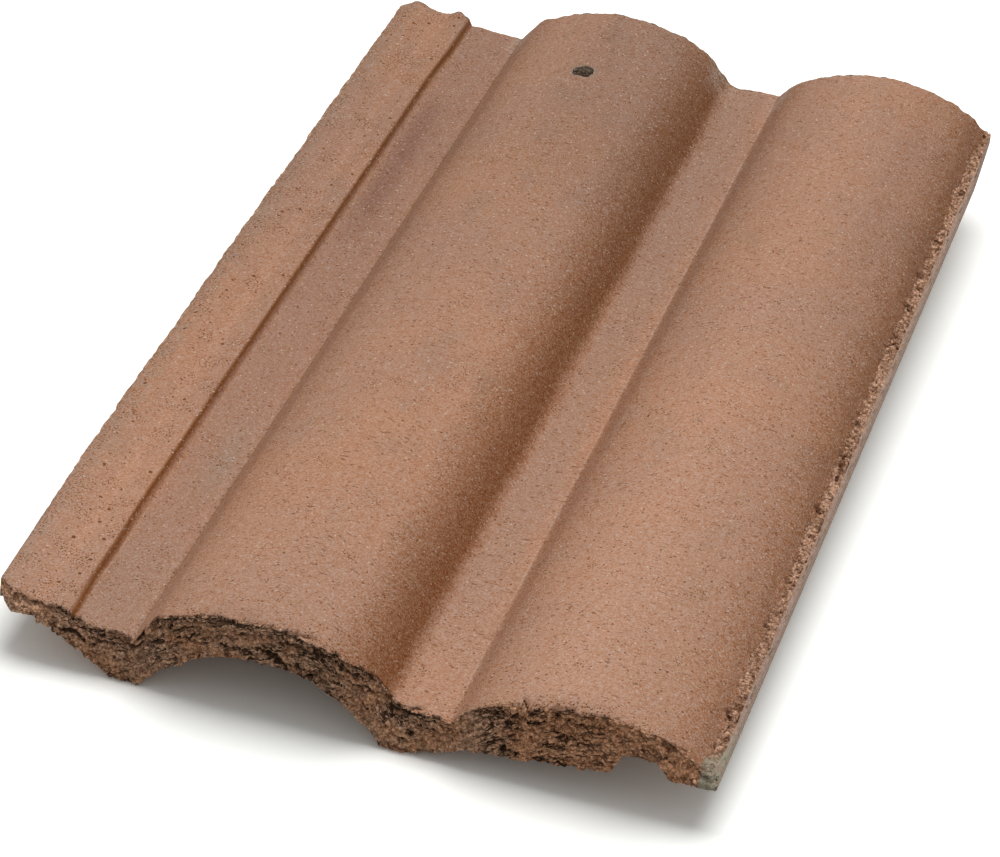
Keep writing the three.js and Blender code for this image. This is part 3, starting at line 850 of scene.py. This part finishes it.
    def skin(self):
        """The sanded skin of the top, with its pits and pale grains, and painted light and shade along its
        length and on its slopes.
        """
        finish, x, y = self.finish, self.x, self.y
        at_feet = x.around(1.0, 7.0).most(x.around(78.0, 9.0), x.around(101.0, 6.0))
        skin = self.coated(
            finish.skin,
            (self.noise(self.place, BROAD_SIZE, roughness=0.5).rise(0.38, 0.66), finish.skin_warm),
            (self.patches.rise(0.5, 0.72) * 0.5, finish.skin_grey),
            (y.rise(110.0, 15.0) * 0.45 + x.around(133.0, 30.0) * 0.3, finish.skin_pale),
            (x.within(81.0, 84.0, 90.0, 101.0) * y.rise(25.0, 80.0) * 0.6, finish.pan),
            # Painted shade, with some pigment, on the steep sides and feet of the rolls.
            (self.flank_pigment_and_shade, finish.flank_pigment_and_shade),
            *self.channel(),
            (y.rise(366.0, 384.0) * at_feet * 0.55 * self.mottle.rise(0.3, 0.6), finish.bloom),
            *self.lines(),
        )
        grit = (0.5 * self.sand_swing + 0.34 * self.grain_swing) * (1.0 + 1.3 * self.flank_pigment_and_shade)
        # Painted light and shade: the skin's lightness along the tile and across the rolls.
        skin = self.toned(skin, self.skin_light_and_shade(), -0.25)
        skin = self.toned(skin, 1.0 + grit + 0.16 * self.mottle_swing, 1.35)
        pale = self.specks(self.place + 31.7, 3.4, 0.3, 0.4) * (0.7 - 0.4 * self.flank_pigment_and_shade)
        sand = self.sand_pale.rise(0.95, 0.99) * 0.35
        return self.coated(skin, (self.pits(), finish.pit), (sand.most(pale), finish.fleck))

    def pits(self):
        """Dark pits in clusters, lone larger ones, and short dashes across the rolls; most on the flange."""
        x, place = self.x, self.place
        bend = self.node("ShaderNodeCombineXYZ", inputs={0: self.grain, 1: self.mottle})
        bent = place + 0.9 * bend
        on_flange, at_rim = x.rise(FLANGE_STEP + 0.5, FLANGE_STEP - 0.5), x.rise(-40.0, -44.5)
        clusters = self.noise(place, CLUSTER_SIZE)
        crowded = clusters + 0.09 * on_flange + 0.16 * at_rim + 0.3 * self.y.rise(7.0, 1.0)
        radius = 0.02 + 0.2 * crowded.rise(0.5, 0.74)
        pits = (self.cells(bent, PIT_SPACING, flat=True)[0] - radius).rise(0.04, -0.06)
        pits = pits.most(
            0.9 * self.specks(bent, 3.6, 0.38, 0.45),
            self.specks(bent, 2.1, 0.3, 0.22),
            self.specks(bent, 4.7, 0.62, 0.4) * (0.45 + 0.55 * on_flange),
        )
        dashes = self.noise(place * (0.17, 1.0, 1.0), GRAIN_SIZE, roughness=0.5).rise(0.63, 0.7)
        dashes = dashes * clusters.rise(0.52, 0.42) * x.rise(2.0, 6.0)
        return (pits * 0.95).most(dashes * 0.75)

    def crumbs(self, colour_in, hollow_shade, crack_shade):
        """Broken concrete: crumbs of uneven lightness, with painted shade in the crevices between them, in
        the hollows and in the cracks.
        """
        # Painted shade in the crevices between the crumbs.
        crevice_shade = (self.crumb_far + 0.5 * self.grain_swing).rise(0.42, 0.7)
        tone = (1.0 + 0.6 * (self.crumb_tone - 0.5) + 0.7 * self.sand_swing) * (1.0 - 0.5 * crevice_shade)
        light = self.toned(colour_in, tone.least(1.36), 0.2)
        # Painted shade in the hollows left by the wear.
        hollow = (self.hollow + 0.4 * self.grain_swing).rise(0.36, 0.64) * (1.0 - 0.7 * self.by_flange)
        return self.coated(
            light,
            (self.sand_pale.rise(0.93, 0.97) * 0.3, self.finish.fleck),
            # Painted shade in the cracks and hollows.
            (crack_shade.most(hollow * 0.9), hollow_shade),
        )

    def crack_shade(self):
        """Painted shade in thin cracks in rows that follow the section, most just under the skin and few
        where it is sound.
        """
        x, below = self.x, self.below_skin
        rows = self.node("ShaderNodeCombineXYZ", inputs={0: 0.26 * x, 1: 0.26 * self.y, 2: below})
        streaks = self.noise(rows, CRACK_SIZE, 2.5)
        width = 0.045 * self.patches.rise(0.38, 0.6) + 0.01 * below.rise(1.8, 0.4)
        sound = (0.3 * x.rise(SOUND_RIGHT, SOUND_RIGHT + 26.0)).most(
            0.75 * x.around(SOUND_MIDDLE, 10.0), 0.6 * x.around(2.0, 8.0), 0.7 * self.by_flange
        )
        return (abs(streaks - 0.47) - width).rise(0.014, -0.012) * (1.0 - sound)

    def cut(self, crack_shade):
        """The torn concrete of the tail and the head, with painted light at its right end and painted shade
        just under the skin's edge.
        """
        finish, x = self.finish, self.x
        warm = 1.0 - self.patches + 0.3 * x.rise(105.0, 135.0)
        # Painted light lifts the right end, the flange's end is lighter, and painted shade darkens the rows
        # just under the skin's edge.
        painted_light_level = 1.34 + 0.13 * x.rise(90.0, 115.0) + 0.15 * x.rise(-27.0, -34.0)
        painted_light_level = painted_light_level * (0.82 + 0.18 * self.below_skin.rise(0.2, 1.8))
        cut = self.mix(warm.rise(0.45, 0.72), finish.cut, finish.cut_warm)
        return self.crumbs(self.toned(cut, painted_light_level, 0.0), finish.cut_hollow_shade, crack_shade)

    def side(self):
        """The smooth side of the lip, with a green-grey film near the tail."""
        tone = 1.09 + 0.6 * self.sand_swing + 0.5 * self.grain_swing + 0.4 * self.mottle_swing
        green = self.y.rise(30.0, 12.0) * self.mottle.rise(0.2, 0.6)
        return self.mix(green * 0.85, self.toned(self.finish.side, tone), self.finish.green)

    def under(self):
        """The underside, with grey patches and a few blowholes."""
        finish = self.finish
        tone = 1.0 + 0.3 * self.sand_swing + 0.3 * self.grain_swing + 0.5 * self.mottle_swing
        under = self.mix(self.patches.rise(0.4, 0.65) * 0.7, finish.underside, finish.film)
        blowholes = self.specks(self.place, 5.5, 0.75, 0.35) * self.patches.rise(0.45, 0.6)
        return self.mix(blowholes * 0.85, self.toned(under, tone), finish.pit)

    def surface(self):
        """The colour of the whole tile: each part's own, with frayed edges between them."""
        finish, crack_shade = self.finish, self.crack_shade()
        frayed = 0.9 * self.mottle_swing + 0.9 * self.grain_swing
        torn = (self.torn + frayed + 0.25 * self.y.rise(3.5, 0.5)).rise(0.42, 0.56)
        chipped = (self.chipped + frayed).rise(0.4, 0.65)
        at_corner = self.y.rise(18.0, 7.0)
        beside = self.x + 3.6 * at_corner + 1.2 * self.mottle_swing
        beside = beside.rise(SIDE_FACE - 2.8, SIDE_FACE - 1.6)
        chips = self.crumbs(finish.chipped, finish.chip_hollow_shade, crack_shade * 0.5)
        return self.coated(
            self.skin(),
            (self.underneath, self.under()),
            (torn, self.cut(crack_shade)),
            (beside * (1.0 - torn * (1.0 - at_corner)), self.side()),
            (chipped * (1.0 - torn) * (1.0 - 0.8 * beside * at_corner), chips),
            (self.hole_wall, self.mix(self.sand_pale.rise(0.55, 0.95) * 0.6, finish.hole, finish.fleck)),
        )

    def relief(self):
        """Fine height of the surface in millimetres, coarser where it is broken."""
        fine = (0.22 * self.grain - 0.14 * self.sand_far) * (1.0 - 0.6 * self.underneath)
        broken = self.torn.most(self.chipped, self.hole_wall)
        return fine + 0.12 * self.mottle + broken * (0.25 * self.grain - 0.85 * self.crumb_far)

    def build(self):
        bump = self.node("ShaderNodeBump", inputs={"Distance": MM, "Height": self.relief()})
        shader = self.node(
            "ShaderNodeBsdfPrincipled",
            inputs={
                "Base Color": self.surface(),
                "Roughness": 0.86 + 0.1 * self.mottle,
                "Specular IOR Level": 0.3,
                "Normal": bump,
            },
        )
        self.node("ShaderNodeOutputMaterial", inputs={0: shader})


def concrete(finish):
    material = bpy.data.materials.new("tile_concrete")
    Concrete(material, finish).build()
    return material


def rays_that_see(graph):
    """1 for rays from the camera or off gloss and glass, and 0 for those that only light things."""
    kinds = ("Is Camera Ray", "Is Glossy Ray", "Is Transmission Ray")
    camera, gloss, glass = (graph.node("ShaderNodeLightPath", output=kind) for kind in kinds)
    return camera.most(gloss, glass)


# ---- operators ----


def added(context, name, data):
    """A new object with some data, in the scene and at the origin."""
    made = bpy.data.objects.new(name, data)
    context.collection.objects.link(made)
    return made


def mesh_of(bm, name, material):
    """A mesh of one material from a bmesh, which it frees."""
    mesh = bpy.data.meshes.new(name)
    bm.to_mesh(mesh)
    bm.free()
    mesh.materials.append(material)
    return mesh


class ROOFTILE_OT_body(bpy.types.Operator):
    """Make the worn concrete tile in the place of the plain solid"""

    bl_idname = "rooftile.body"
    bl_label = "Roof Tile"

    def execute(self, context):
        shape, finish = context.scene.roof_tile_shape, context.scene.roof_tile_finish
        low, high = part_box(NODE)
        bm, layer = fine_solid(shape)
        wear(bm, layer, shape)
        bm.transform(tile_to_floor())
        inside_box(bm, low, high)
        bm.normal_update()
        chipped = bm.verts.layers.float["chipped"]
        for face in bm.faces:
            broken = min(vert[chipped] for vert in face.verts) > BROKEN_FACE
            face.smooth = not (broken or face[layer] in (TAIL_CUT, HEAD_CUT))
        for edge in bm.edges:
            parts = {face[layer] for face in edge.link_faces}
            edge.smooth = not (parts & {UNDERSIDE, HOLE} and edge.calc_face_angle(0.0) > SHARP_ANGLE)
        body = added(context, PIECE, mesh_of(bm, PIECE, concrete(finish)))
        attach(body, "root")
        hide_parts(NODE)
        return {"FINISHED"}


class ROOFTILE_OT_stage(bpy.types.Operator):
    """Lay a pale floor and set the lights and the camera"""

    bl_idname = "rooftile.stage"
    bl_label = "Studio"

    def execute(self, context):
        stage = context.scene.roof_tile_stage
        self.lay_floor(context, stage)
        self.light(context, stage)
        self.aim_camera(context, stage)
        context.scene.view_settings.view_transform = "Standard"
        return {"FINISHED"}

    def lay_floor(self, context, stage):
        bm = bmesh.new()
        bmesh.ops.create_grid(bm, x_segments=1, y_segments=1, size=FLOOR_REACH)
        material = bpy.data.materials.new("studio_floor")
        graph = Graph(material)
        tint = graph.mix(rays_that_see(graph), stage.floor, stage.floor_seen)
        shader = graph.node("ShaderNodeBsdfDiffuse", inputs={"Color": tint})
        graph.node("ShaderNodeOutputMaterial", inputs={0: shader})
        added(context, "studio_floor", mesh_of(bm, "studio_floor", material))

    def light(self, context, stage):
        data = bpy.data.lights.new("key_light", "AREA")
        data.shape, data.size = "SQUARE", stage.key_size
        data.energy = stage.key_power
        key = added(context, "key_light", data)
        direction = Vector(KEY_DIRECTION).normalized()
        key.location = direction * KEY_DISTANCE
        key.rotation_euler = direction.to_track_quat("Z", "Y").to_euler()
        world = bpy.data.worlds.new("room")
        context.scene.world = world
        graph = Graph(world)
        strength = stage.world_level + (1.0 - stage.world_level) * rays_that_see(graph)
        glow = graph.node("ShaderNodeBackground", inputs={"Color": (1.0, 1.0, 1.0), "Strength": strength})
        graph.node("ShaderNodeOutputWorld", inputs={0: glow})

    def aim_camera(self, context, stage):
        azimuth, elevation = stage.camera_azimuth, stage.camera_elevation
        back = Vector((
            math.sin(azimuth) * math.cos(elevation),
            -math.cos(azimuth) * math.cos(elevation),
            math.sin(elevation),
        ))
        place = Vector(CAMERA_AIM) + back * stage.camera_distance
        data = bpy.data.cameras.new("camera")
        data.lens = stage.lens
        data.clip_start, data.clip_end = 0.05, 50.0
        camera = added(context, "camera", data)
        turn = back.to_track_quat("Z", "Y").to_matrix().to_4x4()
        roll = Matrix.Rotation(stage.camera_roll, 4, "Z")
        camera.matrix_world = Matrix.Translation(place) @ turn @ roll
        context.scene.camera = camera


class ROOFTILE_PT_panel(bpy.types.Panel):
    """The roof tile's operators"""

    bl_idname = "ROOFTILE_PT_panel"
    bl_label = "Roof Tile"
    bl_space_type = "VIEW_3D"
    bl_region_type = "UI"
    bl_category = "Roof Tile"

    def draw(self, context):
        for operator in OPERATORS:
            self.layout.operator(operator.bl_idname)


GROUPS = {
    "roof_tile_shape": RoofTileShape,
    "roof_tile_finish": RoofTileFinish,
    "roof_tile_stage": RoofTileStage,
}
OPERATORS = (ROOFTILE_OT_stage, ROOFTILE_OT_body)


def register():
    for name, group in GROUPS.items():
        bpy.utils.register_class(group)
        setattr(bpy.types.Scene, name, PointerProperty(type=group))
    for operator in OPERATORS:
        bpy.utils.register_class(operator)
    bpy.utils.register_class(ROOFTILE_PT_panel)


def unregister():
    bpy.utils.unregister_class(ROOFTILE_PT_panel)
    for operator in reversed(OPERATORS):
        bpy.utils.unregister_class(operator)
    for name, group in GROUPS.items():
        delattr(bpy.types.Scene, name)
        bpy.utils.unregister_class(group)


def main():
    register()
    bpy.ops.rooftile.stage()
    bpy.ops.rooftile.body()


if __name__ == "__main__":
    main()
